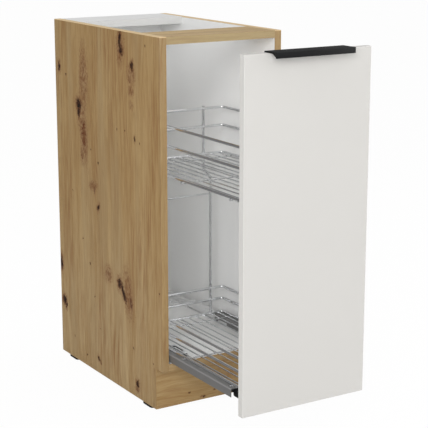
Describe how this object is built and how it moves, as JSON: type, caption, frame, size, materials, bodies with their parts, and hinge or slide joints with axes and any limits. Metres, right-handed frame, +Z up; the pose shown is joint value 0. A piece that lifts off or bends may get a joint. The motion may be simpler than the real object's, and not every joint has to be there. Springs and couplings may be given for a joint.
{
  "type": "pull-out base cabinet",
  "caption": "Narrow kitchen base cabinet with a full-height front that pulls out on ball-bearing runners and carries an upper and a lower wire basket.",
  "frame": {"origin": "on the floor, under the centre of the part's box as drawn, with the pull-out 296 mm open", "axes": "X across the cabinet, -Y out of the front, +Z up"},
  "size_m": [0.3, 0.837, 0.82],
  "materials": {
    "oak": "knotty oak laminate outside, white inside, satin",
    "oak_band": "pale oak edge band, satin",
    "white_board": "white melamine board, satin",
    "front_white": "off-white laminate, satin",
    "chrome": "polished",
    "ball_steel": "polished",
    "zinc": "zinc plated, dull",
    "rail_grey": "grey, satin",
    "black_metal": "black powder coat, matt",
    "black_plastic": "matt",
    "cage_plastic": "matt",
    "beech": "raw",
    "clear_plastic": "soft, clear"
  },
  "bodies": {
    "carcass": {"left_side": "oak", "right_side": "oak", "bottom_panel": "white_board", "plinth": "oak", "front_top_rail": "oak", "back_top_rail": "white_board", "back_panel": "white_board", "carcass_edge_bands": "oak_band", "glides": "black_plastic", "dowels": "beech", "cam_bolts": "zinc", "cam_locks": "zinc", "back_panel_pins": "zinc", "left_cabinet_rail": "zinc", "right_cabinet_rail": "zinc", "rail_brackets": "zinc", "rail_fixing_screws": "zinc"},
    "pull_out": {"left_drawer_rail": "rail_grey", "right_drawer_rail": "rail_grey", "rail_rivets": "rail_grey", "upper_basket_floor": "chrome", "upper_basket_rails": "chrome", "lower_basket_floor": "chrome", "lower_basket_rails": "chrome", "rear_link_frame": "chrome", "front_link_bars": "zinc", "rail_front_brackets": "black_plastic", "door_screws": "zinc", "front_panel": "front_white", "front_edge_bands": "front_white", "edge_pull": "black_metal", "edge_pull_screws": "zinc", "bumpers": "clear_plastic"},
    "left_middle": {"left_mid_rail": "zinc"},
    "right_middle": {"right_mid_rail": "zinc"},
    "left_inner_bearing": {"left_inner_cage": "cage_plastic", "left_inner_balls": "ball_steel"},
    "right_inner_bearing": {"right_inner_cage": "cage_plastic", "right_inner_balls": "ball_steel"},
    "left_outer_bearing": {"left_outer_cage": "cage_plastic", "left_outer_balls": "ball_steel"},
    "right_outer_bearing": {"right_outer_cage": "cage_plastic", "right_outer_balls": "ball_steel"}
  },
  "joints": [
    {"name": "pull_out_slide", "type": "slide", "parent": "carcass", "child": "pull_out", "axis": [0, -1, 0], "range_m": [-0.296, 0.144]},
    {"name": "left_middle_slide", "type": "slide", "parent": "carcass", "child": "left_middle", "axis": [0, -1, 0], "range_m": [-0.148, 0.072]},
    {"name": "right_middle_slide", "type": "slide", "parent": "carcass", "child": "right_middle", "axis": [0, -1, 0], "range_m": [-0.148, 0.072]},
    {"name": "left_inner_bearing_slide", "type": "slide", "parent": "carcass", "child": "left_inner_bearing", "axis": [0, -1, 0], "range_m": [-0.074, 0.036]},
    {"name": "right_inner_bearing_slide", "type": "slide", "parent": "carcass", "child": "right_inner_bearing", "axis": [0, -1, 0], "range_m": [-0.074, 0.036]},
    {"name": "left_outer_bearing_slide", "type": "slide", "parent": "carcass", "child": "left_outer_bearing", "axis": [0, -1, 0], "range_m": [-0.222, 0.108]},
    {"name": "right_outer_bearing_slide", "type": "slide", "parent": "carcass", "child": "right_outer_bearing", "axis": [0, -1, 0], "range_m": [-0.222, 0.108]}
  ],
  "couplings": [
    {"joint": "left_middle_slide", "follows": "pull_out_slide", "ratio": 0.5},
    {"joint": "right_middle_slide", "follows": "pull_out_slide", "ratio": 0.5},
    {"joint": "left_inner_bearing_slide", "follows": "pull_out_slide", "ratio": 0.25},
    {"joint": "right_inner_bearing_slide", "follows": "pull_out_slide", "ratio": 0.25},
    {"joint": "left_outer_bearing_slide", "follows": "pull_out_slide", "ratio": 0.75},
    {"joint": "right_outer_bearing_slide", "follows": "pull_out_slide", "ratio": 0.75}
  ]
}
